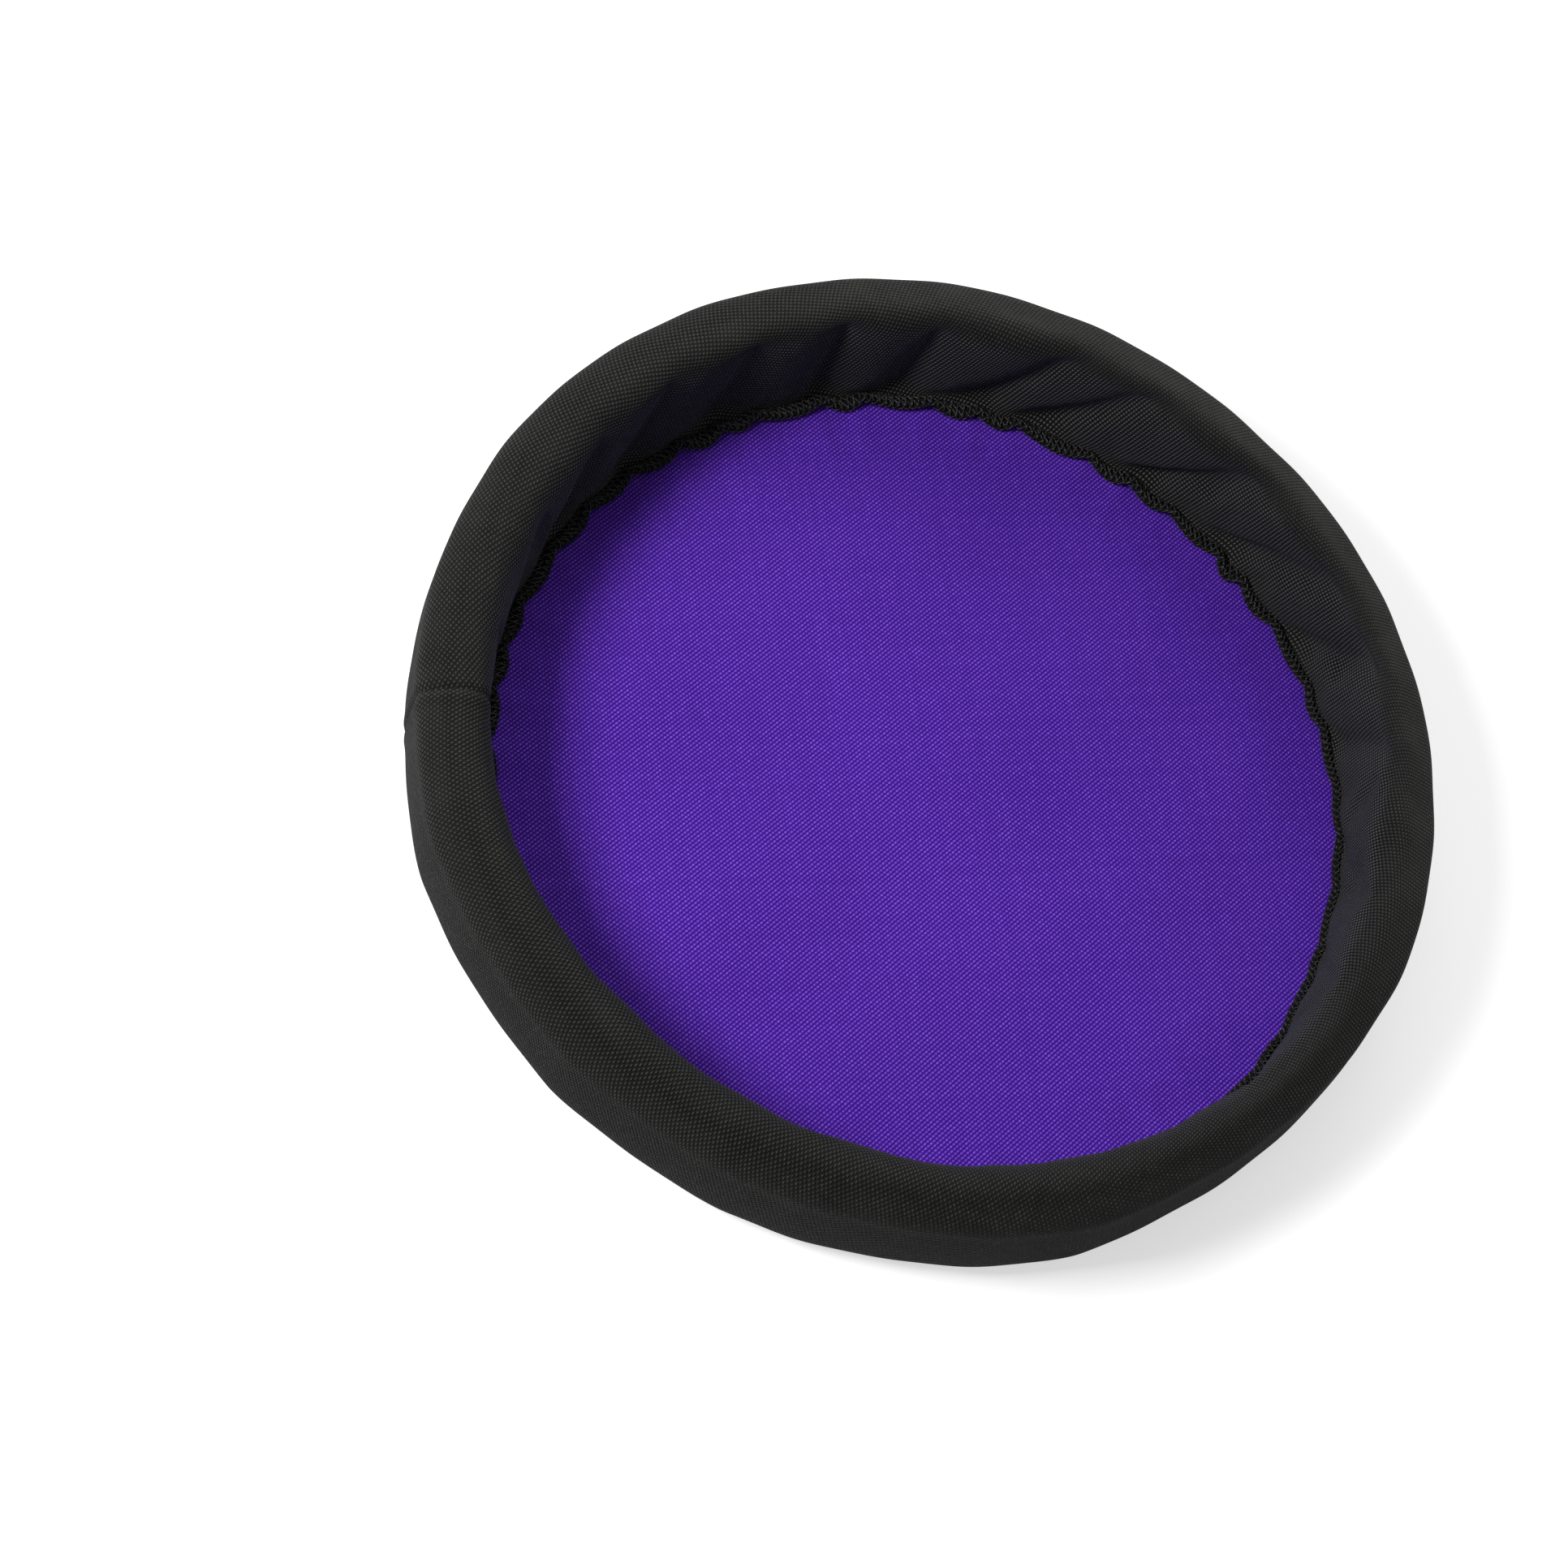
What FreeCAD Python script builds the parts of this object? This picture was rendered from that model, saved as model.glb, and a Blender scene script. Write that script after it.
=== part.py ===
import FreeCAD, Part
import math
import os

# Soft fabric flying disc, in millimetres. A round panel closes the crown, and a band of cloth
# sewn round its edge is a padded tube that stands up as the rim. The disc lies on its panel
# with the hollow side up: +Z is its own axis, out of the hollow, and the origin is the middle
# of the underside.

# Rim, measured on the outside of the cloth
disc_radius = 150.0          # axis to the outer wall
rim_foot_width = 19.0        # outer wall to the foot of the inner wall
rim_lip_width = 18.0         # outer wall to the inner side of the ridge
rim_height = 43.0            # underside to the top of the ridge
shoulder_height = 39.7       # underside to the top of the shoulder's roll
base_radius = 10.0           # roll between the underside and the outer wall
shoulder_radius = 6.0        # roll between the outer wall and the slanted lip
ridge_radius = 5.0           # roll between the slanted lip and the inner wall

# Cloth, and the seam that joins the panel and both long edges of the band
panel_thickness = 0.5
cover_thickness = 0.5
band_edges = 2
seam_height = 1.6            # underside to where the gathered edge starts
seam_gap = 0.1               # between pieces that are sewn together

# Gathered edge of the seam, bound in thread
thread_thickness = 0.25      # thread that wraps each side of the layers
bound_height = 3.0           # part of the seam that stands up in gathers
gather_pitch = 17.5          # along the seam, from one gather to the next
gather_depth = 1.6           # from cusp to crest, at the free top of the edge
gather_start = 0.4           # from cusp to crest, at the needle line
wall_gap = 0.3               # nearest the bound edge comes to the inner wall

# Foam strip in the tube
core_gap = 0.3               # between the foam and the cloth round it
core_slack = 1.0             # more room behind the inner wall, where the cloth hangs loose
core_foot_radius = 4.0       # eased corner of the foam beside the seam
butt_gap = 0.5               # between the two ends of the strip
join_angle = 204.0           # where the ends of the strip meet, from +X round +Z

# How finely the rolls and the gathers are drawn
roll_chords = 3
points_per_gather = 6
cusp_softness = 0.25         # 0 folds the edge sharply between two gathers

foot_wall = disc_radius - rim_foot_width
axis = FreeCAD.Vector(0, 0, 1)
centre = FreeCAD.Vector(0, 0, 0)


def rim_corners():
    """Rolled corners of the rim's section, as centre and radius, from the seam to the ridge."""
    shoulder_at = shoulder_height - shoulder_radius
    ridge_at = rim_height - ridge_radius
    return [
        (foot_wall, 0.0, 0.0),
        (disc_radius - base_radius, base_radius, base_radius),
        (disc_radius - shoulder_radius, shoulder_at, shoulder_radius),
        (disc_radius - rim_lip_width + ridge_radius, ridge_at, ridge_radius),
    ]


def side_normal(first, second):
    """Outward normal of the straight side that touches two rolled corners in turn."""
    along_x = second[0] - first[0]
    along_z = second[1] - first[1]
    length = math.hypot(along_x, along_z)
    taper = (first[2] - second[2]) / length
    spread = math.sqrt(1.0 - taper * taper)
    normal_x = (along_z * spread + along_x * taper) / length
    normal_z = (along_z * taper - along_x * spread) / length
    return FreeCAD.Vector(normal_x, 0, normal_z)


def corner_points(corners, inset, chords):
    """For each corner, set in from the outside, the points along its roll."""
    count = len(corners)
    normals = [side_normal(corners[i], corners[(i + 1) % count]) for i in range(count)]
    rolls = []
    for i, (x, z, radius) in enumerate(corners):
        middle = FreeCAD.Vector(x, 0, z)
        before, after = normals[i - 1], normals[i]
        reach = radius - inset
        if reach <= 0:
            mitre = (before + after) * (reach / (1 + before.dot(after)))
            rolls.append([middle + mitre])
            continue
        start = math.atan2(before.z, before.x)
        turn = before.getAngle(after)
        angles = [start + turn * k / chords for k in range(chords + 1)]
        rolls.append([middle + FreeCAD.Vector(math.cos(a), 0, math.sin(a)) * reach for a in angles])
    return rolls


def section_ring(corners, inset, chords, sweep):
    """Ring with straight sides and rolled corners, swept round the axis."""
    points = [point for roll in corner_points(corners, inset, chords) for point in roll]
    return Part.Face(Part.makePolygon(points + points[:1])).revolve(centre, axis, sweep)


def inner_wall_radius(height):
    """Radius of the inner wall's face at a height between the seam and the ridge."""
    rolls = corner_points(rim_corners(), 0.0, roll_chords)
    low, high = rolls[0][0], rolls[3][-1]
    share = (height - low.z) / (high.z - low.z)
    return low.x + (high.x - low.x) * share


def ring(inner, outer, top):
    """Plain ring round the axis that stands on the underside."""
    return Part.makeCylinder(outer, top).cut(Part.makeCylinder(inner, top))


def make_rim_cover():
    """Band of cloth closed into a tube, with its two long edges turned up at the seam."""
    corners = rim_corners()
    outside = section_ring(corners, 0.0, roll_chords, 360)
    inside = section_ring(corners, cover_thickness, roll_chords, 360)
    turned_up = foot_wall - band_edges * cover_thickness
    seam = ring(turned_up, foot_wall + cover_thickness / 2, seam_height)
    return outside.cut(inside).fuse(seam).removeSplitter()


def make_crown_panel():
    """Round panel, flat on the underside, with its edge turned up against the band's edges."""
    edge = foot_wall - band_edges * cover_thickness - seam_gap
    flat = Part.makeCylinder(edge, panel_thickness)
    seam = ring(edge - panel_thickness, edge, seam_height)
    return flat.fuse(seam).removeSplitter()


def make_rim_core():
    """Foam strip bent to a ring, its section a little smaller than the tube it fills."""
    inset = cover_thickness + core_gap
    base, shoulder, ridge = rim_corners()[1:]
    lip = side_normal(shoulder, ridge)
    foot_height = inset + core_foot_radius
    foot_at = inner_wall_radius(foot_height) + inset + core_slack + core_foot_radius
    corners = [
        (foot_at, foot_height, core_foot_radius),
        (base[0], base[1], base[2] - inset),
        (shoulder[0], shoulder[1], shoulder[2] - inset),
        (ridge[0] + core_slack, ridge[1] - core_slack * lip.x / lip.z, ridge[2] - inset),
    ]
    missing = math.degrees(butt_gap / (disc_radius - rim_foot_width / 2))
    strip = section_ring(corners, 0.0, 1, 360 - missing)
    strip.rotate(centre, axis, join_angle + missing / 2)
    return strip


def gathered_wire(height, radius, depth):
    """Closed line along the bound edge: lobes that lean to the axis, with cusps between."""
    gathers = round(2 * math.pi * foot_wall / gather_pitch)
    count = gathers * points_per_gather
    crest = math.hypot(1.0, cusp_softness) - cusp_softness
    points = []
    for i in range(count):
        angle = 2 * math.pi * i / count
        lobe = math.hypot(math.sin(gathers * angle / 2), cusp_softness) - cusp_softness
        reach = radius - depth * lobe / crest
        points.append(FreeCAD.Vector(reach * math.cos(angle), reach * math.sin(angle), height))
    line = Part.BSplineCurve()
    line.interpolate(Points=points, PeriodicFlag=True)
    return Part.Wire(line.toShape())


def make_edge_overlock():
    """Raw edges of the three layers, bound in thread and standing in gathers inside the rim."""
    low = seam_height + seam_gap
    high = low + bound_height
    layers = panel_thickness + band_edges * cover_thickness + 2 * thread_thickness
    outer = min(inner_wall_radius(low), inner_wall_radius(high)) - wall_gap
    depths = [(low, gather_start), (high, gather_depth)]
    outside = Part.makeLoft([gathered_wire(z, outer, depth) for z, depth in depths], True, True)
    inner = outer - layers
    inside = Part.makeLoft([gathered_wire(z, inner, depth) for z, depth in depths], True, True)
    return outside.cut(inside)


def main():
    os.makedirs("parts", exist_ok=True)
    nodes = {
        "crown_panel": make_crown_panel(),
        "rim_cover": make_rim_cover(),
        "rim_core": make_rim_core(),
        "edge_overlock": make_edge_overlock(),
    }
    for name, shape in nodes.items():
        shape.exportStep("parts/" + name + ".step")
        print(name, "volume", round(shape.Volume), "mm3")


main()
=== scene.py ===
import bmesh
import bpy
import math
import numpy as np
from mathutils import Matrix, Vector


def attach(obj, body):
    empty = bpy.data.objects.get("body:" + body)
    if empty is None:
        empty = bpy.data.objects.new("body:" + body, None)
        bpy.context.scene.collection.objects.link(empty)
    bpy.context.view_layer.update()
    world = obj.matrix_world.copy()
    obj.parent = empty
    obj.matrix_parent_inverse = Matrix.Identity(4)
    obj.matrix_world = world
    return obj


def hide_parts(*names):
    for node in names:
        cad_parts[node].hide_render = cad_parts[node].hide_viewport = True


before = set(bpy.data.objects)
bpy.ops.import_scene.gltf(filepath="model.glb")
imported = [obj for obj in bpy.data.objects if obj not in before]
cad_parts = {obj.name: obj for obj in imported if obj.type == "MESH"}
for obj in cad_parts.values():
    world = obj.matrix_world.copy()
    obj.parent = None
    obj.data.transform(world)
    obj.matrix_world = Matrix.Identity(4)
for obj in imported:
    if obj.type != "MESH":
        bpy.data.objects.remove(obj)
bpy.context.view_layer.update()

# Soft fabric flying disc, hollow side up, on a pale floor. The dictionaries hold millimetres
# and degrees unless a note says otherwise, and mm turns them into the scene's metres.
mm = 0.001
scene = bpy.context.scene
scene.view_settings.view_transform = "Standard"


# The sewn seam, which the panel, the band and the bound edge share
seam = {
    "radius": 129.9,
    "height": 1.6,
    "gathers": 47,  # lobes of the bound edge, all the way round
    "stray": 0.27,  # how far a cusp lies off its even place, as a share of the pitch
    "joinAngle": 204.0,  # where the two ends of the band are sewn together, from +X round +Z
    "seed": 11,
}


def cuspAngles():
    draw = np.random.default_rng(seam["seed"])
    pitch = 360.0 / seam["gathers"]
    strays = draw.uniform(-1, 1, seam["gathers"]) * seam["stray"] * pitch
    strays[0] = 0.0
    return seam["joinAngle"] + pitch * np.arange(seam["gathers"]) + strays


cusps = cuspAngles()
cuspTurn = np.append(cusps, cusps[0] + 360.0)


def lobePhase(angles):
    # whole part: which gather an angle falls in; fraction: how far through it
    past = (angles - cusps[0]) % 360.0 + cusps[0]
    return np.interp(past, cuspTurn, np.arange(len(cuspTurn)))


def lobeAngles(stepsPerLobe):
    # angles at even steps through each gather
    phases = np.arange(seam["gathers"] * stepsPerLobe) / stepsPerLobe
    return np.interp(phases, np.arange(len(cuspTurn)), cuspTurn)


def ease(value, low, high):
    share = np.clip((value - low) / (high - low), 0.0, 1.0)
    return share * share * (3.0 - 2.0 * share)


def apart(angles, other):
    return (angles - other + 180.0) % 360.0 - 180.0


# The rim is soft, so it is a little out of round: angle, shift of the seam and inner wall, and
# shift of the outer wall. Where the foam strip bends in steps it also has slight corners
outline = {
    "shifts": [(0, 0.4, -1.4), (20, 1.0, -1.6), (40, 0.9, -1.7), (60, 0.2, -1.6), (80, -0.6, -0.6),
               (100, 0.0, 0.8), (120, 0.0, 1.7), (140, -1.6, 1.9), (160, -0.6, 2.2), (180, -0.8, 2.0),
               (200, -0.6, 1.7), (220, -0.5, 2.2), (240, -2.4, 1.2), (260, -2.2, 0.2), (280, -1.5, 1.2),
               (300, 0.0, 1.8), (320, 0.8, -0.6), (340, 1.6, -2.0)],
    "corners": [194, 221, 248, 270, 309, 336],
    "flatness": 0.15,  # 1 would make each side between two corners a straight chord
    "radius": 150.0,
}


def roundTable(angles, column):
    # smooth closed curve through one column of the table of shifts
    table = np.array(outline["shifts"], dtype=float)
    count = len(table)
    place = (np.asarray(angles) % 360.0) * count / 360.0
    low = np.floor(place).astype(int)
    share = place - low
    a, b, c, d = [table[(low + k) % count, column] for k in (-1, 0, 1, 2)]
    return b + 0.5 * share * (c - a + share * (2 * a - 5 * b + 4 * c - d + share * (3 * (b - c) + d - a)))


def wallShift(angles):
    return roundTable(angles, 1)


def outerShift(angles):
    corners = np.array(outline["corners"], dtype=float)
    past = (np.asarray(angles) - corners[0]) % 360.0 + corners[0]
    side = np.clip(np.searchsorted(corners, past, side="right") - 1, 0, len(corners) - 2)
    half = (corners[side + 1] - corners[side]) / 2
    off = np.minimum(np.abs(past - (corners[side] + half)), half)
    sag = outline["radius"] * (1.0 - np.cos(np.radians(half)) / np.cos(np.radians(off)))
    inside = past < corners[-1]
    return roundTable(angles, 2) - np.where(inside, outline["flatness"] * sag, 0.0)


def addObject(name, data):
    made = bpy.data.objects.new(name, data)
    scene.collection.objects.link(made)
    return made


def gridMesh(name, points, closeRows, closeColumns, coords=None):
    # quads over a grid of points (rows, columns, 3) in metres, with an optional grid of UVs
    rows, columns = points.shape[:2]
    down = np.arange(rows if closeRows else rows - 1)
    across = np.arange(columns if closeColumns else columns - 1)
    i, j = [part.ravel() for part in np.meshgrid(down, across, indexing="ij")]
    corner = [(i, j), (i + 1, j), (i + 1, j + 1), (i, j + 1)]
    faces = np.stack([(a % rows) * columns + b % columns for a, b in corner], axis=1)
    mesh = bpy.data.meshes.new(name)
    mesh.from_pydata(points.reshape(-1, 3).tolist(), [], faces.tolist())
    if coords is not None:
        layer = mesh.uv_layers.new(name="cloth")
        flat = np.stack([coords[a, b] for a, b in corner], axis=1).reshape(-1, 2)
        layer.data.foreach_set("uv", flat.astype(np.float32).ravel())
    mesh.polygons.foreach_set("use_smooth", np.ones(len(mesh.polygons), dtype=bool))
    return addObject(name, mesh)


def around(angles, radii, heights):
    # grid of points in metres from a column of angles in degrees and grids of radius and height
    turn = np.radians(angles)
    points = [radii * np.cos(turn), radii * np.sin(turn), heights + 0 * radii * turn]
    return np.stack(points, axis=-1) * mm


# Rim cover: the band of cloth, closed into a tube by the seam
rim = {
    # corners of the section, as radius and height, and their rolls
    "foot": (130.9, 0.0), "footRoll": 1.2,
    "base": (150.2, 0.0), "baseRoll": 10.0,
    "shoulder": (150.2, 37.5), "shoulderRoll": 6.0,
    "ridge": (131.3, 46.2), "ridgeRoll": 8.0,
    "softRidge": (131.5, 45.6), "softRidgeRoll": 5.0,
    "tuck": (131.7, 3.6), "tuckRoll": 1.6,  # where the wall turns in to the seam
    "sewnIn": 0.5,  # from the seam's line to where the band's two edges meet
    "rollPoints": 25,
    "wallCrown": 0.7,  # how far the padding rounds the outer wall out
    "crownFrom": 20.0,  # place along the section where that starts
    "crownLong": 28.0,
    "waves": [(7, 0.14), (13, 0.12), (23, 0.12), (37, 0.10)],  # count round the rim, and size
    "waveTwist": 60.0,  # the less, the more the waves wander over the section
    "waveLong": 19.0,
    "waveStart": (4.0, 20.0),  # along the section from the seam, where the waves come in
    "waveEnd": (6.0, 20.0),  # and back from the seam, where they go out
    "aroundSteps": 436,
    "joinSteps": 11,  # extra steps over the join, inside joinSpread each side
    "joinSpread": 1.2,
    "fineFrom": 43.5,  # place along the section where the lip starts
    "heldTo": 61.0,  # the foam holds the cloth up to here
    "freeFrom": 75.0,  # and no longer does from here
    "stepLong": 3.6,  # along the section: on the underside and the outer wall
    "stepShort": 1.9,  # and from the lip to the seam
    "softSide": 85.0,  # where the ridge is softer, with the softRidge corner
    "softSpread": (-0.35, 0.75),  # cosines of the angle from there
    "joinGroove": 0.55,
    "joinWidth": 0.75,
    "joinSwell": 0.35,  # of the turned edges on each side of the groove
    "joinSwellAt": 2.6,
    "joinSwellWidth": 1.6,
    "joinRadius": 140.0,
    "joinStart": (1.0, 5.0),
    "shiftFrom": 133.0,  # radius up to which the cover follows the shift of the inner wall
    "shiftTo": 147.0,  # and from which it follows that of the outer wall
    "looseRound": 0.13,  # cloth to spare round the inner wall, as a share of it
    "looseEnd": 12.0,  # back from the seam, where that is all there
    "looseTwist": -7.0,  # degrees that the band's two edges are sewn out of step
    "twistEnd": 14.0,
    "sewnEdge": 1.2,  # width of the band's edge that the seam holds
}


def roundedSection(corners, rolls, start, end):
    # section line from start to end, with each corner rolled, as closely spaced points
    line = [np.array(start)]
    spots = [np.array(start)] + [np.array(c) for c in corners] + [np.array(end)]
    for k, roll in enumerate(rolls, start=1):
        back = spots[k - 1] - spots[k]
        onward = spots[k + 1] - spots[k]
        back, onward = back / np.hypot(*back), onward / np.hypot(*onward)
        half = math.acos(np.clip(np.dot(back, onward), -1, 1)) / 2
        reach = roll / math.tan(half)
        middle = spots[k] + (back + onward) / np.hypot(*(back + onward)) * roll / math.sin(half)
        first, last = spots[k] + back * reach - middle, spots[k] + onward * reach - middle
        turn = math.pi - 2 * half
        for step in np.linspace(0, 1, rim["rollPoints"]):
            mix = (math.sin((1 - step) * turn) * first + math.sin(step * turn) * last) / math.sin(turn)
            line.append(middle + mix)
    line.append(np.array(end))
    return np.array(line)


def resampled(line, steps):
    # points and outward normals at even steps along each part of a section line
    lengths = np.concatenate([[0], np.cumsum(np.hypot(*np.diff(line, axis=0).T))])

    def at(spots):
        return np.stack([np.interp(spots, lengths, line[:, k]) for k in range(2)], axis=-1)

    places, beside = steps(lengths[-1]), 0.3
    ahead, behind = at(np.minimum(places + beside, lengths[-1])), at(np.maximum(places - beside, 0))
    along = (ahead - behind) / np.hypot(*(ahead - behind).T)[:, None]
    return places, at(places), np.stack([along[:, 1], -along[:, 0]], axis=-1), lengths[-1]


# Troughs that the gathered seam pulls into the inner wall, deepest where the ridge is soft.
# Each one runs up from the seam and leans clockwise: angle at the seam, lean in degrees for
# each millimetre up, depth, half width in degrees
troughs = [
    (2.0, -0.30, 1.4, 2.8), (18.0, -0.40, 1.9, 3.0), (34.2, -0.25, 3.2, 3.0), (49.8, -0.36, 5.2, 3.4),
    (67.8, -0.52, 5.5, 3.8), (81.6, -0.43, 5.5, 3.3), (96.6, -0.36, 5.5, 3.1), (107.2, -0.34, 5.2, 2.9),
    (116.0, -0.10, 4.6, 2.8), (127.2, -0.06, 4.6, 2.1), (143.0, -0.14, 4.9, 4.2), (158.0, -0.20, 3.8, 3.2),
    (172.0, -0.25, 3.2, 3.2), (186.0, -0.28, 1.9, 3.0), (199.0, -0.20, 1.4, 2.8), (213.0, -0.30, 1.4, 3.0),
    (229.0, -0.42, 1.6, 3.4), (245.0, -0.38, 1.4, 3.2), (259.0, -0.45, 1.6, 3.4), (275.0, -0.35, 1.3, 3.2),
    (290.0, -0.40, 1.4, 3.2), (306.0, -0.30, 1.1, 3.0), (322.0, -0.30, 1.2, 3.0), (343.0, -0.30, 1.3, 3.0),
]

wrinkle = {
    "strength": 1.2,
    "fall": (0.45, 0.8),  # how steeply a trough's two flanks rise, clockwise and the other way
    "flank": 1.6,
    "widening": (0.85, 90.0),  # share of the half width at the seam, and height that adds one more
    "fill": 0.4,  # how far the cloth between two troughs stands out
    "softFill": 2.4,
    "foot": (0.5, 8.0),  # heights between which the troughs come in
    "top": (24.0, 40.0),  # and go out
    "softTop": (9.0, 10.0),  # and how much higher that is where the ridge is soft
}


def wrinkleDepth(angles, up):
    # how far the inner wall is pressed in, over a grid of angles and heights above the seam
    depth = np.zeros(np.broadcast(angles, up).shape)
    soft = softShare(angles)
    share, rise = wrinkle["widening"]
    clockwise, other = wrinkle["fall"]
    for foot, lean, deep, half in troughs:
        off = apart(angles, foot + lean * up) / (half * (share + up / rise))
        shape = np.exp(-np.where(off > 0, other, clockwise) * np.abs(off) ** wrinkle["flank"])
        depth += wrinkle["strength"] * deep * shape
    low, high = [top + more * soft for top, more in zip(wrinkle["top"], wrinkle["softTop"])]
    depth = depth - wrinkle["fill"] - wrinkle["softFill"] * soft
    return depth * ease(up, *wrinkle["foot"]) * (1.0 - ease(up, low, high))


# Small pleats that each cusp of the seam leaves at the foot of the wall
pleat = {
    "depth": 0.85,
    "lean": 0.35,  # degrees clockwise for each millimetre up
    "roundness": 0.22,  # 0 folds the cloth sharply
    "foot": (-0.2, 1.5),
    "top": (5.0, 19.0),
}


def pleatDepth(angles, up):
    share = lobePhase(angles + pleat["lean"] * up) % 1.0
    fold = np.hypot(np.sin(math.pi * share), pleat["roundness"]) - pleat["roundness"]
    return pleat["depth"] * (0.5 - fold) * ease(up, *pleat["foot"]) * (1.0 - ease(up, *pleat["top"]))


def coverPlaces(total):
    # places along the section, from the seam round the underside, the outer wall and the lip
    change = rim["fineFrom"]
    coarse = np.linspace(0, change, round(change / rim["stepLong"]) + 1)
    fine = np.linspace(change, total, round((total - change) / rim["stepShort"]) + 1)
    return np.concatenate([coarse, fine[1:-1]])


def coverAngles():
    # even steps round the rim, and closer ones over the join of the band
    spread = rim["joinSpread"]
    even = np.linspace(spread, 360 - spread, rim["aroundSteps"])
    close = np.linspace(-spread, spread, rim["joinSteps"])
    return np.unique(np.concatenate([even, close % 360.0]).round(6))


def softShare(angles):
    return ease(np.cos(np.radians(angles - rim["softSide"])), *rim["softSpread"])


def coverSection(ridge, steps):
    start = (seam["radius"] - rim["sewnIn"], seam["height"])
    bends = ["foot", "base", "shoulder", ridge, "tuck"]
    rolls = [rim[bend + "Roll"] for bend in bends]
    return resampled(roundedSection([rim[bend] for bend in bends], rolls, start, start), steps)


def coverPoints(past, unsewn=False):
    # the cover before it is blown up, or the longer shape that its loose cloth was cut to
    angles = (seam["joinAngle"] + past)[:, None]
    places, points, normals, total = coverSection("ridge", coverPlaces)
    softer = coverSection("softRidge", lambda length: places * length / total)
    soft = softShare(angles)[..., None]
    points, normals = points + soft * (softer[1] - points), normals + soft * (softer[2] - normals)
    radii, heights = points[..., 0], points[..., 1]
    left = total - places  # back from the seam, which is also the height up the inner wall
    up = left[None, :]
    onWall = (places > rim["fineFrom"])[None, :]

    crown = np.clip((places - rim["crownFrom"]) / rim["crownLong"], 0, 1)
    push = rim["wallCrown"] * np.sin(math.pi * crown)[None, :]
    push = push - np.where(onWall, wrinkleDepth(angles, up) + pleatDepth(angles, up), 0.0)
    draw = np.random.default_rng(seam["seed"] + 1)
    comesIn, goesOut = ease(places, *rim["waveStart"])[None, :], ease(left, *rim["waveEnd"])[None, :]
    for count, size in rim["waves"]:
        turn, lift = draw.uniform(0, 360, 2)
        wander = lift / rim["waveTwist"] * np.sin(places[None, :] / rim["waveLong"])
        swell = np.sin(np.radians(count * angles + turn + wander))
        push = push + size * swell * comesIn * goesOut
    offJoin = apart(angles, seam["joinAngle"]) * math.radians(1) * rim["joinRadius"]
    groove = rim["joinGroove"] * np.exp(-(offJoin / rim["joinWidth"]) ** 2)
    beside = (np.abs(offJoin) - rim["joinSwellAt"]) / rim["joinSwellWidth"]
    raised = rim["joinSwell"] * np.exp(-beside ** 2) - groove
    push = push + raised * ease(places, *rim["joinStart"])[None, :] * ease(left, *rim["joinStart"])[None, :]

    wall, outer = wallShift(angles), outerShift(angles)
    share = ease(radii, rim["shiftFrom"], rim["shiftTo"])
    radii = radii + push * normals[..., 0] + wall + (outer - wall) * share
    heights = heights + push * normals[..., 1]
    if unsewn:
        loose = ease(places, rim["fineFrom"], total - rim["looseEnd"])[None, :]
        radii = radii * (1.0 + rim["looseRound"] * loose)
        angles = angles + rim["looseTwist"] * loose * ease(left, 0.0, rim["twistEnd"])[None, :]
    return around(angles, radii, np.maximum(heights, 0.0))


def makeRimCover():
    section = coverSection("ridge", coverPlaces)
    places, total = section[0], section[-1]
    past = coverAngles()
    sewn = coverPoints(past)
    coords = bandCoords(np.append(past, 360.0)[:, None], places[None, :], total)
    piece = gridMesh("rimCover", sewn, True, True, coords)
    held = 1.0 - ease(places, rim["heldTo"], rim["freeFrom"])
    held = np.maximum(held, places > total - rim["sewnEdge"])
    blowUp(piece, coverPoints(past, unsewn=True), np.broadcast_to(held, sewn.shape[:2]))
    smooth = piece.modifiers.new("smooth", "SUBSURF")
    smooth.levels, smooth.render_levels = 1, 1
    return madePlain(piece)


# The loose inner wall finds its wrinkles in a cloth simulation, on a model ten times as large
blow = {
    "scale": 10.0,
    "frames": 24,
    "pressure": 0.3,
    "tension": 20.0,
    "compression": 12.0,
    "shear": 8.0,
    "bending": 0.2,
    "mass": 0.3,
    "damping": 6.0,
    "stretchDamping": 5.0,
    "quality": 6,
    "mostOut": 4.0,  # how far a point may go from where it was sewn, out of the tube
    "mostIn": 2.4,  # and towards the foam
}


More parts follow.
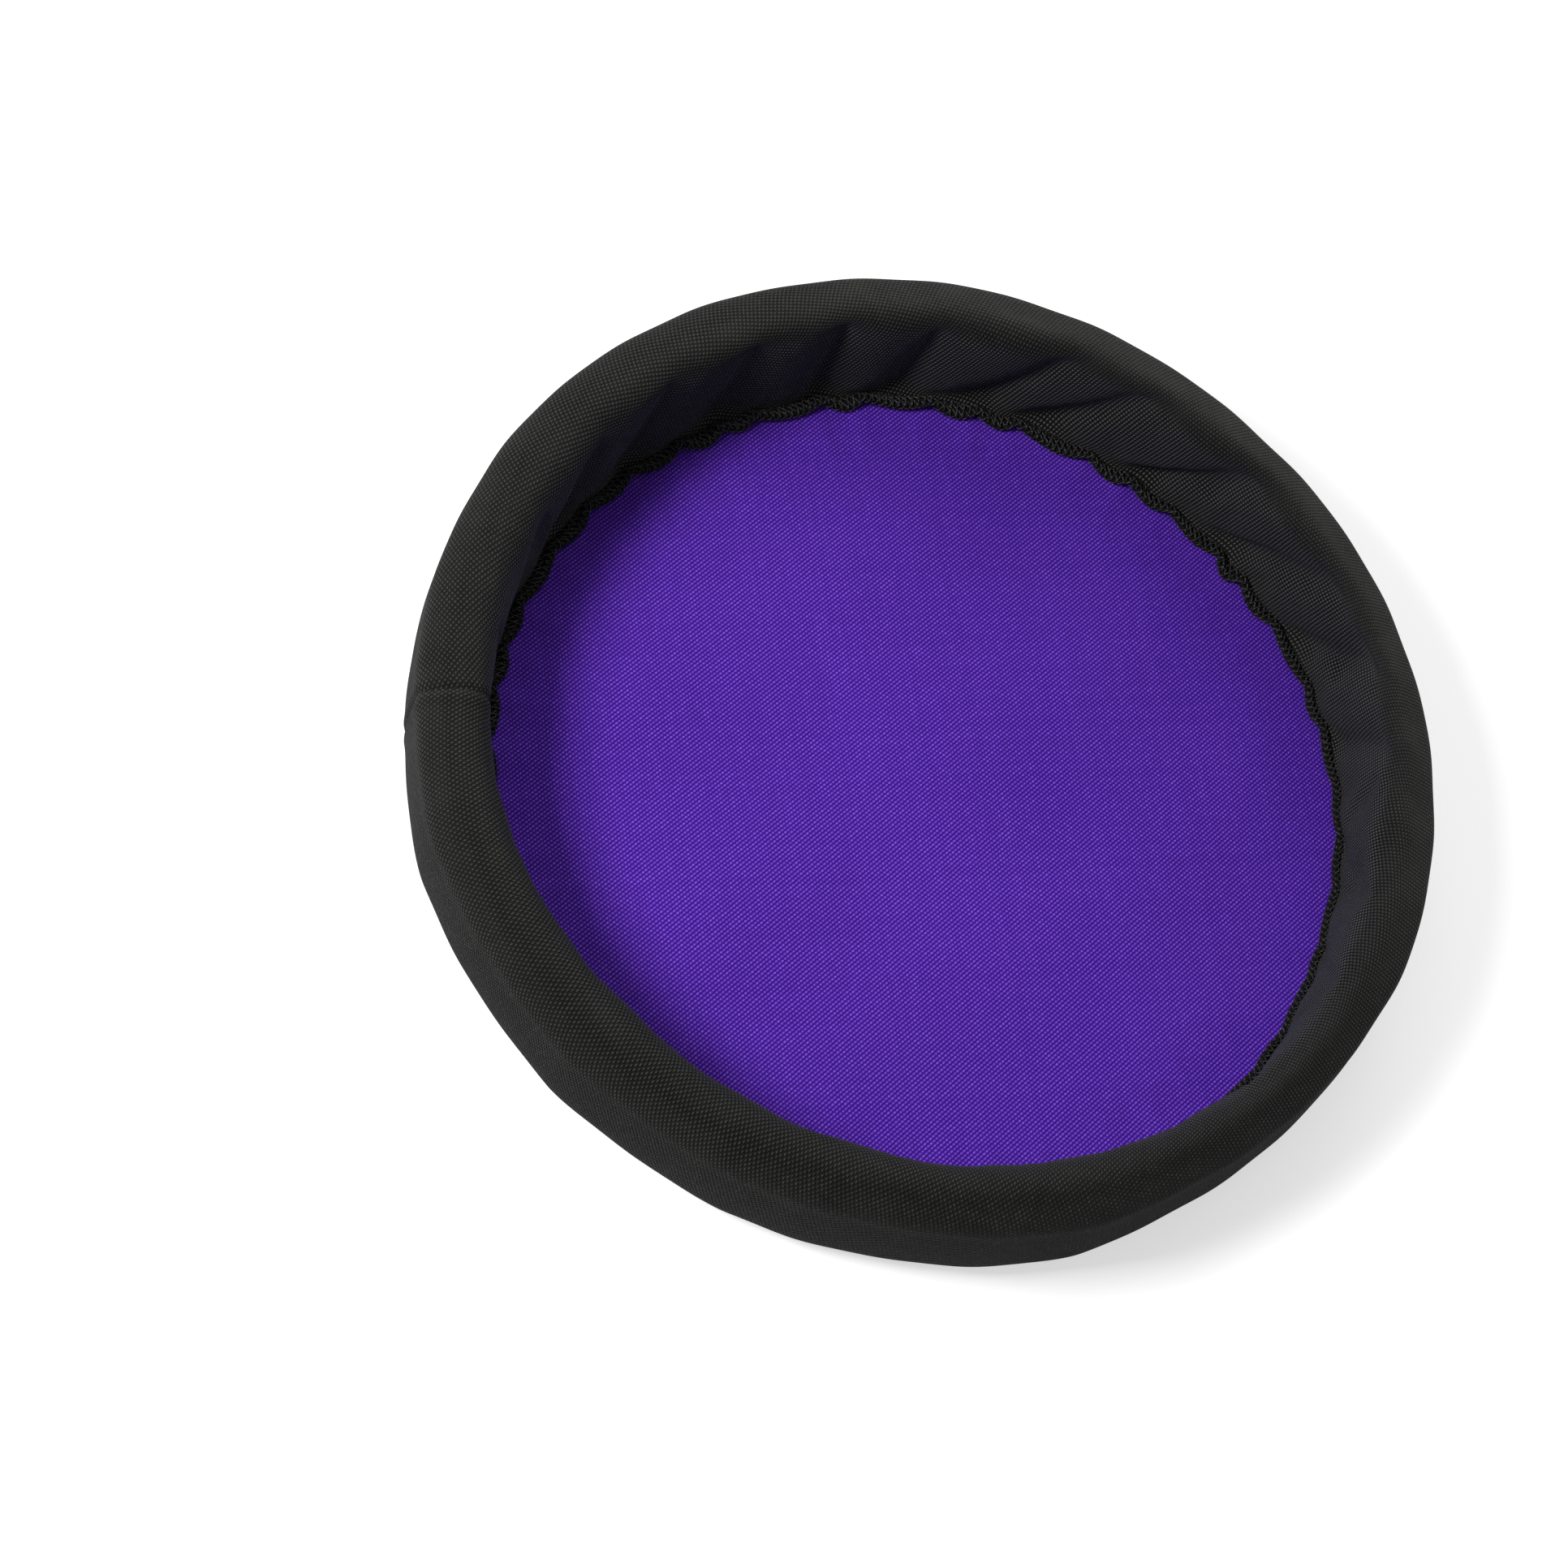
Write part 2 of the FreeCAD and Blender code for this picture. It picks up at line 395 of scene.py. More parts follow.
def blowUp(piece, loose, held):
    # runs Blender's cloth on a copy of the piece and gives the piece its last shape
    mesh = piece.data
    count = len(mesh.vertices)
    sewn = np.empty(count * 3)
    mesh.vertices.foreach_get("co", sewn)
    model = addObject("clothModel", mesh.copy())
    model.data.vertices.foreach_set("co", sewn * blow["scale"])
    model.shape_key_add(name="sewn")
    cut = model.shape_key_add(name="cut")
    cut.data.foreach_set("co", (loose * blow["scale"]).astype(np.float32).ravel())
    pins = model.vertex_groups.new(name="held")
    for index, weight in enumerate(held.ravel()):
        if weight > 0:
            pins.add([index], float(weight), "REPLACE")
    cloth = model.modifiers.new("cloth", "CLOTH")
    given = cloth.settings
    given.quality, given.mass, given.air_damping = blow["quality"], blow["mass"], blow["damping"]
    given.tension_stiffness, given.compression_stiffness = blow["tension"], blow["compression"]
    given.shear_stiffness, given.bending_stiffness = blow["shear"], blow["bending"]
    given.tension_damping = given.compression_damping = given.shear_damping = blow["stretchDamping"]
    given.use_pressure, given.uniform_pressure_force = True, blow["pressure"]
    given.effector_weights.gravity = 0.0
    given.vertex_group_mass = "held"
    given.rest_shape_key = cut
    cloth.collision_settings.use_collision = False
    cloth.point_cache.frame_start, cloth.point_cache.frame_end = 1, blow["frames"]
    for step in range(1, blow["frames"] + 1):
        scene.frame_set(step)
    ready = model.evaluated_get(bpy.context.evaluated_depsgraph_get())
    blown = np.empty(count * 3)
    ready.data.vertices.foreach_get("co", blown)
    moves = (blown / blow["scale"] - sewn).reshape(-1, 3)
    length = np.maximum(np.linalg.norm(moves, axis=1), 1e-9)[:, None]
    outward = np.empty(count * 3)
    mesh.vertices.foreach_get("normal", outward)
    inward = (moves * outward.reshape(-1, 3)).sum(axis=1)[:, None] < 0
    most = np.where(inward, blow["mostIn"], blow["mostOut"]) * mm
    moves = moves * (most * np.tanh(length / most) / length)
    mesh.vertices.foreach_set("co", (sewn.reshape(-1, 3) + moves).ravel())
    print("cover blown up: most move %.1f mm, mean %.2f mm" % (length.max() / mm, length.mean() / mm))
    bpy.data.objects.remove(model)
    scene.frame_set(1)


# The band is cut from cloth of the same weave, as a wide arc, so its grain turns along the rim
band = {
    "arcShare": 0.22,  # turn of the cut arc for each turn round the disc
    "lipRadius": 142.0,
    "lipPlace": 57.0,  # along the section from the seam to the middle of the lip
    "grainAtMiddle": 48.0,  # wide yarn spacing against the rim's direction, opposite the join
}


def bandCoords(past, places, total):
    # where each point of the cover lies on the flat cloth, in metres along the two yarns
    arcRadius = band["lipRadius"] / band["arcShare"]
    turn = np.radians((past - 180.0) * band["arcShare"])
    reach = arcRadius - (np.append(places, total) - band["lipPlace"])
    across, along = reach * np.cos(turn), reach * np.sin(turn)
    grain = math.radians(90.0 + band["grainAtMiddle"])
    first = across * math.cos(grain) + along * math.sin(grain)
    second = along * math.cos(grain) - across * math.sin(grain)
    return np.stack([first, second], axis=-1) * mm


# Crown panel: one round sheet, drawn tight, with its edge turned up into the seam
panel = {
    "radius": 131.3,
    "thickness": 0.45,
    "edgeRoll": 1.2,
    "edgeLift": 0.8,  # of the rolled edge, as a share of its roll
    "rollSteps": 6,
    "aroundSteps": 376,
    "rings": 84,
    "hole": 0.8,  # radius of the innermost ring, which is closed with one face
    "rise": 1.3,  # of the cloth's middle over the floor
    "edgeRise": 0.4,  # and of its edge
    "fall": (95.0, 127.0),  # radii between which the one changes to the other
    "clear": 0.02,  # least gap to the floor
    "swell": 0.9,  # slow rise and fall over the whole panel
    "swellEnd": (90.0, 127.0),
    "pucker": 0.75,  # beside each cusp of the seam
    "puckerStart": (105.0, 127.0),
    "shiftPower": 3,  # the more, the less the middle follows the seam out of round
    "turnedUp": 2.0,  # of the flat sheet, at its edge, in the seam
}


def panelHeight(x, y, radii, angles):
    # three waves whose crests cross, and the puckers of the seam
    slow = (np.sin(x / 31.0 + 0.6) * np.cos(y / 38.0 - 0.4) + 0.6 * np.sin((x + 1.4 * y) / 27.0)
            + 0.45 * np.sin((1.7 * x - y) / 21.0 + 1.9))
    slow = slow * (1.0 - ease(radii, *panel["swellEnd"]))
    beside = 0.5 - np.abs(np.sin(math.pi * (lobePhase(angles) % 1.0)))
    return panel["swell"] * slow + panel["pucker"] * (beside * ease(radii, *panel["puckerStart"]))


def makeCrownPanel():
    inner = np.linspace(panel["hole"], panel["radius"] - panel["edgeRoll"], panel["rings"])
    roll = np.radians(np.linspace(0, 90, panel["rollSteps"] + 1)[1:])
    edgeRadii = panel["radius"] - panel["edgeRoll"] + panel["edgeRoll"] * np.sin(roll)
    edgeHeights = panel["edgeRoll"] * (1.0 - np.cos(roll)) * panel["edgeLift"]
    radii = np.concatenate([inner, edgeRadii])[None, :]
    lift = np.concatenate([inner * 0, edgeHeights])[None, :]
    angles = (np.arange(panel["aroundSteps"]) * 360.0 / panel["aroundSteps"])[:, None]
    x, y = radii * np.cos(np.radians(angles)), radii * np.sin(np.radians(angles))
    middle = panel["rise"] + panelHeight(x, y, radii, angles) + lift
    middle = middle - (panel["rise"] - panel["edgeRise"]) * ease(radii, *panel["fall"])
    lower = np.maximum(middle - panel["thickness"] / 2, panel["clear"])
    upper = lower + panel["thickness"]
    section = np.concatenate([upper, lower[:, ::-1]], axis=1)
    reach = np.concatenate([radii, radii[:, ::-1]], axis=1)
    shift = wallShift(angles) * (reach / seam["radius"]) ** panel["shiftPower"]
    points = around(angles, reach + shift, section)
    piece = gridMesh("crownPanel", points, True, False)
    capEnds(piece)
    return piece


def capEnds(piece):
    # closes any open rings at the ends of a swept section, then points all faces outwards
    shape = bmesh.new()
    shape.from_mesh(piece.data)
    bmesh.ops.holes_fill(shape, edges=[side for side in shape.edges if side.is_boundary], sides=0)
    bmesh.ops.recalc_face_normals(shape, faces=shape.faces)
    for face in shape.faces:
        face.smooth = True
    shape.to_mesh(piece.data)
    shape.free()


# Bound edge: the raw edges of panel and band, wrapped in thread, which stand inside the rim
edge = {
    "base": (130.7, 1.5),
    "thickness": 2.1,
    "width": 5.2,  # from the needle line to the free edge, at the middle of a lobe
    "pinchedWidth": 4.2,  # and at a cusp
    "lean": 80.0,  # towards the axis, at the middle of a lobe
    "pinchedLean": 44.0,
    "skew": 0.35,  # how far the free edge is dragged clockwise, for each mm of width
    "skewRadius": 130.0,
    "tightSide": 348.0,  # where the edge stands up against the wall, narrower and less gathered
    "tightSpread": (0.3, 0.9),  # cosines of the angle from there
    "tightBow": 0.6,
    "tightWidth": 1.3,
    "setBack": 0.4,  # of the needle line, at the middle of a lobe
    "lowest": 0.7,
    "lobeSizes": (0.72, 1.12),
    "lobeLean": 0.86,  # under 1 moves the fullest part of a lobe towards its first cusp
    "cuspRoundness": 0.09,
    "sectionPower": 0.75,  # under 1 squares the section
    "stepsPerLobe": 26,
    "sectionSteps": 14,
}


def lobeShape(phase):
    # 0 at a cusp and about 1 at the fullest part of a lobe, a little before its middle
    shifted = (phase % 1.0) ** edge["lobeLean"]
    roundness = edge["cuspRoundness"]
    bow = np.hypot(np.sin(math.pi * shifted), roundness) - roundness
    draw = np.random.default_rng(seam["seed"] + 2)
    sizes = draw.uniform(*edge["lobeSizes"], seam["gathers"] + 1)
    lobe = np.floor(phase).astype(int) % seam["gathers"]
    return bow / (math.hypot(1, roundness) - roundness) * sizes[lobe]


def edgeFrame(angles):
    # place of the needle line, direction to the free edge and width, at each angle
    bow = lobeShape(lobePhase(angles))
    tight = ease(np.cos(np.radians(angles - edge["tightSide"])), *edge["tightSpread"])
    bow = bow * (1.0 - edge["tightBow"] * tight)
    lean = np.radians(edge["pinchedLean"] + (edge["lean"] - edge["pinchedLean"]) * bow)
    width = edge["pinchedWidth"] + (edge["width"] - edge["pinchedWidth"]) * bow - edge["tightWidth"] * tight
    return edge["base"][0] - edge["setBack"] * bow, edge["base"][1], lean, width


def edgePoint(angles, along, off):
    # point of the bound edge: along from needle line to free edge, off towards the axis
    radius, height, lean, width = edgeFrame(angles)
    reach = radius - along * width * np.sin(lean) - off * np.cos(lean)
    rise = height + along * width * np.cos(lean) - off * np.sin(lean)
    drag = -np.degrees(along * width * edge["skew"] / edge["skewRadius"])
    return around(angles + drag, reach + wallShift(angles), np.maximum(rise, edge["lowest"]))


def makeBoundEdge():
    angles = lobeAngles(edge["stepsPerLobe"])[:, None]
    turn = np.linspace(0, 2 * math.pi, edge["sectionSteps"], endpoint=False)[None, :]
    half = edge["thickness"] / 2
    along = 0.5 - 0.5 * np.sign(np.cos(turn)) * np.abs(np.cos(turn)) ** edge["sectionPower"]
    off = half * np.sign(np.sin(turn)) * np.abs(np.sin(turn)) ** edge["sectionPower"]
    piece = gridMesh("boundEdge", edgePoint(angles, along, off), True, True)
    capEnds(piece)
    return piece


# Thread over the bound edge, laid by Geometry Nodes along a guide line
thread = {
    "radius": 0.32,
    "pitch": 2.1,
    "sides": 3,
    "runSteps": 5,
    "guideSteps": 40,  # points of the guide line for each lobe
    "guideAt": 0.04,  # its place, as a share of the edge's width
    # runs of thread in one stitch, each from start to end with two handles between: share of the
    # pitch along the seam, of the edge's thickness towards its hidden side, of its width upwards
    "runs": {
        "slantUp": [(-0.5, -0.50, 0.06), (-0.2, -0.78, 0.40), (0.2, -0.78, 0.75), (0.5, -0.40, 1.02)],
        "slantDown": [(0.5, -0.50, 0.06), (0.2, -0.70, 0.40), (-0.2, -0.70, 0.75), (-0.5, -0.40, 1.02)],
        "needle": [(-0.5, -0.42, 0.06), (-0.2, -0.86, 0.03), (0.2, -0.86, 0.03), (0.5, -0.42, 0.06)],
        "overEdge": [(-0.5, -0.40, 1.02), (-0.1, -0.30, 1.22), (0.3, 0.62, 1.10), (0.5, 0.55, 0.50)],
    },
}


def closedLine(name, points):
    mesh = bpy.data.meshes.new(name)
    mesh.from_pydata(points, [(i, (i + 1) % len(points)) for i in range(len(points))], [])
    return addObject(name, mesh)


def guideLine():
    # line along the middle of the bound edge, with the way to its free edge stored on it
    angles = lobeAngles(thread["guideSteps"])
    low, high = edgePoint(angles, thread["guideAt"], 0.0), edgePoint(angles, 1.0, 0.0)
    piece = closedLine("edgeStitches", low.tolist())
    rise = piece.data.attributes.new("rise", "FLOAT_VECTOR", "POINT")
    rise.data.foreach_set("vector", (high - low).astype(np.float32).ravel())
    return piece


def addNode(tree, kind, inputs=(), **settings):
    made = tree.nodes.new(kind)
    for name, value in settings.items():
        setattr(made, name, value)
    for key, value in dict(inputs).items():
        if isinstance(value, bpy.types.NodeSocket):
            tree.links.new(value, made.inputs[key])
        else:
            made.inputs[key].default_value = value
    return made


def calculator(tree):
    # short way to add one math node to a tree
    def calc(operation, *values):
        return addNode(tree, "ShaderNodeMath", dict(enumerate(values)), operation=operation).outputs[0]

    return calc


def newTree(name, shape, sizes, result):
    # Geometry Nodes tree that takes a shape and named sizes, and gives a result
    tree = bpy.data.node_groups.new(name, "GeometryNodeTree")
    tree.interface.new_socket(shape, in_out="INPUT", socket_type="NodeSocketGeometry")
    for size in sizes:
        tree.interface.new_socket(size, in_out="INPUT", socket_type="NodeSocketFloat")
    tree.interface.new_socket(result, in_out="OUTPUT", socket_type="NodeSocketGeometry")
    return tree, addNode(tree, "NodeGroupInput").outputs


def closeTree(tree, made, material, result):
    real = addNode(tree, "GeometryNodeRealizeInstances", {"Geometry": made})
    dyed = addNode(tree, "GeometryNodeSetMaterial", {"Geometry": real.outputs[0], "Material": material})
    addNode(tree, "NodeGroupOutput", {result: dyed.outputs[0]})


def runTree(piece, tree, sizes):
    # lays a tree on a piece, with its sizes set by socket, and keeps what it makes
    laid = piece.modifiers.new(tree.name, "NODES")
    laid.node_group = tree
    for socket in tree.interface.items_tree:
        if socket.name in sizes:
            laid[socket.identifier] = sizes[socket.name]
    return madePlain(piece)


def makeStitches(material):
    sizes = {"Pitch": thread["pitch"] * mm, "Thread radius": thread["radius"] * mm,
             "Edge thickness": edge["thickness"] * mm}
    tree, given = newTree("stitchesAlongEdge", "Guide", sizes, "Stitches")
    calc = calculator(tree)
    line = addNode(tree, "GeometryNodeMeshToCurve", {"Mesh": given["Guide"]})
    spaced = addNode(tree, "GeometryNodeResampleCurve",
                     {"Curve": line.outputs["Curve"], "Length": given["Pitch"]}, mode="LENGTH")
    rise = addNode(tree, "GeometryNodeInputNamedAttribute", {"Name": "rise"}, data_type="FLOAT_VECTOR")
    tangent = addNode(tree, "GeometryNodeInputTangent")
    axes = {"Primary Axis": rise.outputs["Attribute"], "Secondary Axis": tangent.outputs["Tangent"]}
    turned = addNode(tree, "FunctionNodeAxesToRotation", axes, primary_axis="Z", secondary_axis="X")
    length = addNode(tree, "ShaderNodeVectorMath", {0: rise.outputs["Attribute"]}, operation="LENGTH")
    scale = addNode(tree, "ShaderNodeCombineXYZ", {"X": 1.0, "Y": 1.0, "Z": length.outputs["Value"]})
    ring = addNode(tree, "GeometryNodeCurvePrimitiveCircle",
                   {"Resolution": thread["sides"], "Radius": given["Thread radius"]})
    stitch = addNode(tree, "GeometryNodeJoinGeometry")
    for run in thread["runs"].values():
        ends = {}
        for socket, (x, y, z) in zip(["Start", "Start Handle", "End Handle", "End"], run):
            across = calc("MULTIPLY", given["Pitch"], x)
            deep = calc("MULTIPLY", given["Edge thickness"], y)
            end = addNode(tree, "ShaderNodeCombineXYZ", {"X": across, "Y": deep, "Z": z})
            ends[socket] = end.outputs[0]
        ends["Resolution"] = thread["runSteps"]
        arch = addNode(tree, "GeometryNodeCurvePrimitiveBezierSegment", ends)
        sweep = {"Curve": arch.outputs["Curve"], "Profile Curve": ring.outputs["Curve"], "Fill Caps": True}
        tube = addNode(tree, "GeometryNodeCurveToMesh", sweep)
        tree.links.new(tube.outputs["Mesh"], stitch.inputs[0])
    laid = addNode(tree, "GeometryNodeInstanceOnPoints",
                   {"Points": spaced.outputs["Curve"], "Instance": stitch.outputs[0],
                    "Rotation": turned.outputs["Rotation"], "Scale": scale.outputs[0]})
    closeTree(tree, laid.outputs["Instances"], material, "Stitches")
    return runTree(guideLine(), tree, sizes)


def madePlain(piece):
    # keeps what the modifiers make as a plain mesh, and drops them
    ready = piece.evaluated_get(bpy.context.evaluated_depsgraph_get())
    mesh = bpy.data.meshes.new_from_object(ready)
    piece.modifiers.clear()
    piece.data = mesh
    return piece


# Foam strip inside the tube, its two ends butted at the join
core = {
    "section": [(139.4, 3.6), (141.5, 2.4), (145.2, 5.0), (147.0, 10.5), (147.2, 31.0),
                (145.6, 34.0), (142.6, 35.6), (140.9, 34.4), (140.0, 31.0), (139.3, 9.0)],
    "ringRadius": 142.0,
    "gap": 0.5,
    "steps": 240,
}


def makeFoamCore(material):
    # profile swept round an arc by Geometry Nodes
    missing = core["gap"] / core["ringRadius"]
    sizes = {"Ring radius": core["ringRadius"] * mm,
             "Start angle": math.radians(seam["joinAngle"]) + missing / 2,
             "Sweep angle": 2 * math.pi - missing}
    tree, given = newTree("foamStrip", "Profile", sizes, "Strip")
    profile = addNode(tree, "GeometryNodeMeshToCurve", {"Mesh": given["Profile"]})
    arc = addNode(tree, "GeometryNodeCurveArc",
                  {"Resolution": core["steps"], "Radius": given["Ring radius"],
                   "Start Angle": given["Start angle"], "Sweep Angle": given["Sweep angle"]})
    sweep = {"Curve": arc.outputs["Curve"], "Profile Curve": profile.outputs["Curve"], "Fill Caps": True}
    strip = addNode(tree, "GeometryNodeCurveToMesh", sweep)
    closeTree(tree, strip.outputs["Mesh"], material, "Strip")
    points = [((radius - core["ringRadius"]) * mm, -height * mm, 0.0) for radius, height in core["section"]]
    piece = runTree(closedLine("foamCore", points), tree, sizes)
    capEnds(piece)
    return piece


# Woven cloth, the same plain weave for panel and band
weave = {
    "widePitch": 0.93,  # between the thick yarns
    "closePitch": 0.70,  # between the thin yarns
    "panelGrain": 31.0,  # direction of the wide spacing on the panel, from +X
    # scales of the noises, for each metre
    "driftScale": 55.0,
    "cloudScale": 14.0,
    "patchScale": 60.0,
    "lintScale": 70.0,
    "fibreScale": 5200.0,
    "yarnSeeds": (3.7, 41.3),
    "brightPower": 6.0,  # the more, the fewer crowns are bright
    "patchPower": 1.4,
    "darkest": 0.001,
    "lintSize": 0.022,  # share of a noise cell
    "lintCover": 0.75,
    "polish": 0.08,  # how much smoother a crown is than the mean
}


def yarnPhase(tree, place, direction, pitch):
    # pi for each yarn passed
    scaled = Vector(direction) * (math.pi / (pitch * mm))
    passed = addNode(tree, "ShaderNodeVectorMath", {0: place, 1: scaled}, operation="DOT_PRODUCT")
    return passed.outputs["Value"]


def newMaterial(name):
    material = bpy.data.materials.new(name)
    material.use_nodes = True
    material.node_tree.nodes.clear()
    return material, material.node_tree


def clothMaterial(name, unwrapped, firstWay, secondWay, look):
    material, tree = newMaterial(name)
    calc = calculator(tree)

    def noise(where, scale, detail):
        given = {"Vector": where, "Scale": scale, "Detail": detail}
        return addNode(tree, "ShaderNodeTexNoise", given).outputs

    def vector(operation, first, second):
        given = {0: first, "Scale" if operation == "SCALE" else 1: second}
        return addNode(tree, "ShaderNodeVectorMath", given, operation=operation).outputs[0]

    if unwrapped:
        spot = addNode(tree, "ShaderNodeUVMap", uv_map="cloth").outputs["UV"]
    else:
        spot = addNode(tree, "ShaderNodeTexCoord").outputs["Object"]
    body = addNode(tree, "ShaderNodeTexCoord").outputs["Object"]

    # yarns wander a little from their line
    drift = vector("SUBTRACT", noise(spot, weave["driftScale"], 2.0)["Color"], (0.5, 0.5, 0.5))
    laid = vector("ADD", spot, vector("SCALE", drift, look["wander"] * mm))
    first = yarnPhase(tree, laid, firstWay, weave["widePitch"])
    second = yarnPhase(tree, laid, secondWay, weave["closePitch"])

    # crowns of the weave stand in rows along one diagonal, where the twist of the yarns lines up
    waves = {"rows": calc("COSINE", calc("SUBTRACT", first, second)),
             "crowns": calc("COSINE", calc("ADD", first, second)),
             "wideYarns": calc("COSINE", calc("MULTIPLY", first, 2.0)),
             "closeYarns": calc("COSINE", calc("MULTIPLY", second, 2.0))}
    tone, height = 0.0, 0.0
    for part, (shade, rise) in look["waves"].items():
        tone = calc("MULTIPLY_ADD", waves[part], shade, tone)
        height = calc("MULTIPLY_ADD", waves[part], rise, height)
    if look["loose"] > 0:
        loose = addNode(tree, "ShaderNodeAttribute", attribute_name="loose").outputs["Fac"]
        tone = calc("MULTIPLY", tone, calc("MULTIPLY_ADD", loose, look["loose"], 1.0))

    # each yarn is dyed and spun a little differently, and a few crowns are painted brighter as a painted
    # glint
    for phase, seed in zip((first, second), weave["yarnSeeds"]):
        index = calc("ADD", calc("FLOOR", calc("DIVIDE", phase, math.pi)), seed)
        yarn = addNode(tree, "ShaderNodeTexWhiteNoise", {"W": index}, noise_dimensions="1D")
        dye = calc("SUBTRACT", yarn.outputs["Value"], 0.5)
        tone = calc("MULTIPLY_ADD", dye, look["yarnSpread"], tone)
    onward = calc("ROUND", calc("DIVIDE", calc("SUBTRACT", first, second), 2.0 * math.pi))
    athwart = calc("ROUND", calc("DIVIDE", calc("ADD", first, second), 2.0 * math.pi))
    crown = addNode(tree, "ShaderNodeCombineXYZ", {"X": onward, "Y": athwart}).outputs[0]
    luck = addNode(tree, "ShaderNodeTexWhiteNoise", {"Vector": crown}, noise_dimensions="2D")
    bright = calc("POWER", luck.outputs["Value"], weave["brightPower"])
    bright = calc("MULTIPLY", bright, calc("MAXIMUM", height, 0.0))
    tone = calc("MULTIPLY_ADD", bright, look["crownSpread"], tone)
    cloud = calc("SUBTRACT", noise(body, weave["cloudScale"], 4.0)["Fac"], 0.5)
    tone = calc("MULTIPLY_ADD", cloud, look["cloudSpread"], tone)
    ramp = addNode(tree, "ShaderNodeValToRGB", {"Fac": calc("MULTIPLY_ADD", tone, 0.5, 0.5)})
    stops = ramp.color_ramp.elements
    stops[0].position, stops[0].color = 0.0, (*look["gap"], 1)
    stops[1].position, stops[1].color = 1.0, (*look["crown"], 1)
    middle = stops.new(0.5)
    middle.color = (*look["middle"], 1)
    colour = ramp.outputs["Color"]
    # painted glint: the raised crowns are made brighter where the cloth hangs loose
    if look["loose"] > 0:
        raised = calc("MULTIPLY", calc("MAXIMUM", loose, 0.0), calc("MAXIMUM", height, 0.0))
        colour = vector("SCALE", colour, calc("MULTIPLY_ADD", raised, look["paintedGlint"], 1.0))

    # paler where the cloth is rubbed and on the loose inner wall, with a painted sheen on one side of the
    # lip and a painted shade on one side of the outer wall, and specks of lint
    if look["wearAndLightGain"] > 0:
        wearAndLightMark = addNode(tree, "ShaderNodeAttribute", attribute_name="wearAndLightMark").outputs["Fac"]
        patch = calc("POWER", noise(body, weave["patchScale"], 5.0)["Fac"], weave["patchPower"])
        markShare = calc("MULTIPLY", calc("MULTIPLY", wearAndLightMark, patch), look["wearAndLightGain"])
        colour = vector("ADD", colour, vector("SCALE", look["wearAndLightColour"], markShare))
        colour = vector("MAXIMUM", colour, (weave["darkest"],) * 3)
    cell = addNode(tree, "ShaderNodeTexVoronoi",
                   {"Vector": body, "Scale": weave["lintScale"], "Randomness": 1.0}).outputs
    chance = addNode(tree, "ShaderNodeSeparateColor", {"Color": cell["Color"]}).outputs[0]
    speck = calc("MULTIPLY", calc("LESS_THAN", cell["Distance"], weave["lintSize"]),
                 calc("LESS_THAN", chance, look["lint"]))
    cover = calc("MULTIPLY", speck, weave["lintCover"])
    colour = addNode(tree, "ShaderNodeMix", {"Factor": cover, 6: colour, 7: (*look["lintColour"], 1)},
                     data_type="RGBA").outputs[2]

    relief = calc("MULTIPLY_ADD", noise(spot, weave["fibreScale"], 2.0)["Fac"], look["fibre"], height)
    bump = addNode(tree, "ShaderNodeBump", {"Height": relief, "Strength": look["bump"],
                                            "Distance": look["relief"] * mm})
    rough = calc("MULTIPLY_ADD", height, -weave["polish"], look["roughness"])
    shader = addNode(tree, "ShaderNodeBsdfPrincipled",
                     {"Base Color": colour, "Roughness": rough, "Normal": bump.outputs["Normal"],
                      "Specular IOR Level": look["specular"], "Sheen Weight": look["sheen"],
                      "Sheen Roughness": look["sheenRoughness"],
                      "Sheen Tint": (*look["sheenColour"], 1)})
    addNode(tree, "ShaderNodeOutputMaterial", {"Surface": shader.outputs[0]})
    return material


purpleCloth = {
    "gap": (0.018, 0.0035, 0.105), "middle": (0.074, 0.017, 0.352), "crown": (0.250, 0.098, 0.82),
    # share of each wave of the weave in the colour and in the relief
    "waves": {"rows": (0.54, 0.5), "crowns": (0.22, 0.2),
              "wideYarns": (0.12, 0.2), "closeYarns": (0.05, 0.1)},
    "wander": 0.10, "yarnSpread": 0.06, "crownSpread": 1.2, "cloudSpread": 0.20,
    "loose": 0.0, "wearAndLightGain": 0.0, "lint": 0.006, "lintColour": (0.55, 0.50, 0.60), "fibre": 0.12,
    "relief": 0.10, "bump": 0.5, "roughness": 0.62, "specular": 0.02,
    "sheen": 0.0, "sheenRoughness": 0.4, "sheenColour": (0.6, 0.5, 0.9),
}

blackCloth = {
    # the weave's dark gaps and pale crowns are partly its own pattern, partly painted shade between the
    # yarns and a painted highlight on the crowns
    "gap": (0.0006, 0.0006, 0.0007), "middle": (0.0112, 0.0111, 0.0107), "crown": (0.058, 0.058, 0.055),
    "waves": {"rows": (0.48, 0.5), "crowns": (0.40, 0.5),
              "wideYarns": (0.20, 0.2), "closeYarns": (0.10, 0.2)},
    "wander": 0.12, "yarnSpread": 0.14, "crownSpread": 1.5, "cloudSpread": 0.20,
    # more contrast where the cloth hangs loose, with a painted glint on its crowns; a paler tone where it
    # is rubbed and on the loose inner wall, with a painted sheen on the lip, and a darker one as painted
    # shade on the outer wall
    "loose": 1.4, "paintedGlint": 0.8, "wearAndLightGain": 2.6, "wearAndLightColour": (0.014, 0.014, 0.0135),
    "lint": 0.010, "lintColour": (0.20, 0.20, 0.20), "fibre": 0.15,
    "relief": 0.36, "bump": 1.0, "roughness": 0.55, "specular": 0.035,
    "sheen": 0.050, "sheenRoughness": 0.5, "sheenColour": (0.95, 0.95, 0.95),
}

